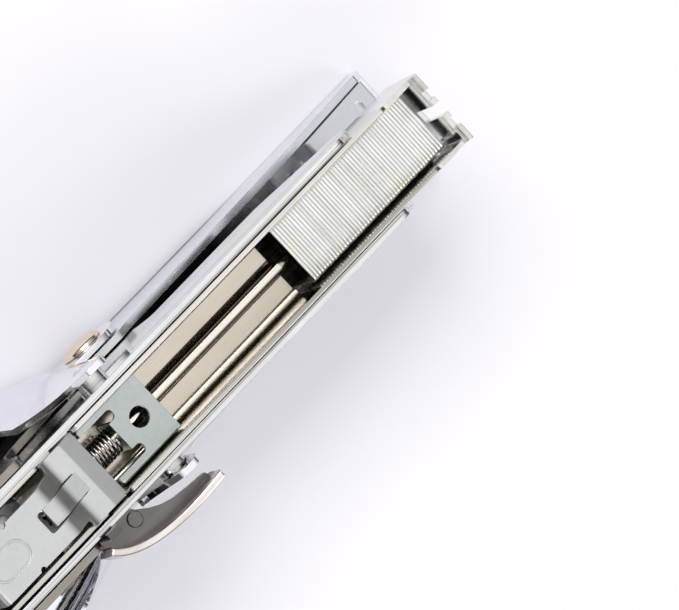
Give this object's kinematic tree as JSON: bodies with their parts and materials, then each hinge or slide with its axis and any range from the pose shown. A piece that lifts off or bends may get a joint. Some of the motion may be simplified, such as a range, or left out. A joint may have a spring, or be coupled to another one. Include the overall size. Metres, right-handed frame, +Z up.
{
  "type": "plier stapler",
  "caption": "Hand-held plier stapler with a pivoting anvil jaw, a floating magazine for wire staples, two handles and a driver arm that swings up for loading.",
  "frame": {"origin": "the middle of the lower jaw's flat underside, on the plane the tool stands on", "axes": "+X forward to the nose, +Y to the tool's left, +Z up to the driver side"},
  "size_m": [0.2029, 0.0466, 0.1492],
  "materials": {
    "shell_chrome": "bright nickel-chrome plate on pressed steel",
    "handle_chrome": "mirror chrome plate on pressed steel",
    "trigger_chrome": "chrome plate, satin inside",
    "lever_steel": "plated steel with sheared edges",
    "rivet_copper": "warm plated dome",
    "plain_steel": "bright steel",
    "spring_wire": "drawn spring wire",
    "zinc_plate": "pale zinc plate",
    "nickel_rail": "warm nickel plate",
    "staple_wire": "galvanised wire",
    "follower_zinc": "grey-green zinc plate"
  },
  "bodies": {
    "frame": {"frame_channel": "shell_chrome", "lower_handle": "handle_chrome", "pivot_rivet": "rivet_copper", "pivot_spacer": "plain_steel", "handle_spacers": "plain_steel", "hinge_pin": "plain_steel", "trigger_pin": "plain_steel", "trigger_spring": "spring_wire", "return_spring": "spring_wire"},
    "anvil_lever": {"jaw_lever": "lever_steel", "anvil_plate": "zinc_plate", "anvil_rivets": "plain_steel", "upper_handle": "handle_chrome", "upper_handle_rivets": "plain_steel"},
    "magazine": {"magazine_channel": "shell_chrome", "nose_guide": "shell_chrome", "staple_rail": "nickel_rail", "guide_rod": "plain_steel", "rod_bracket": "zinc_plate", "bracket_rivets": "plain_steel", "rear_plate": "zinc_plate", "staple_strip": "staple_wire", "follower_spring": "spring_wire"},
    "follower": {"follower": "follower_zinc"},
    "trigger": {"release_trigger": "trigger_chrome"},
    "cover": {"driver_cover": "shell_chrome", "driver_blade": "plain_steel", "blade_rivets": "plain_steel", "cover_leaf_spring": "spring_wire", "leaf_rivet": "plain_steel"}
  },
  "joints": [
    {"name": "squeeze", "type": "hinge", "parent": "frame", "child": "anvil_lever", "pos_m": [-0.0429, 0, 0.0095], "axis": [0, -1, 0], "range_deg": [0, 18.5], "stiffness_Nm_per_rad": 0.6, "springref_deg": -28.65, "deforming": ["return_spring"]},
    {"name": "magazine_lift", "type": "hinge", "parent": "frame", "child": "magazine", "pos_m": [-0.0986, 0, 0.034], "axis": [0, -1, 0], "range_deg": [0, 3]},
    {"name": "follower_slide", "type": "slide", "parent": "magazine", "child": "follower", "axis": [1, 0, 0], "range_m": [0, 0.0366], "deforming": ["follower_spring"]},
    {"name": "cover_swing", "type": "hinge", "parent": "frame", "child": "cover", "pos_m": [-0.0986, 0, 0.034], "axis": [0, -1, 0], "range_deg": [-117, 0]},
    {"name": "trigger_press", "type": "hinge", "parent": "frame", "child": "trigger", "pos_m": [-0.0641, -0.0122, 0.03], "axis": [0, 0, 1], "range_deg": [0, 9], "stiffness_Nm_per_rad": 0.02, "springref_deg": -5.73, "deforming": ["trigger_spring"]}
  ],
  "couplings": [
    {"joint": "magazine_lift", "follows": "squeeze", "ratio": 0.16216}
  ]
}
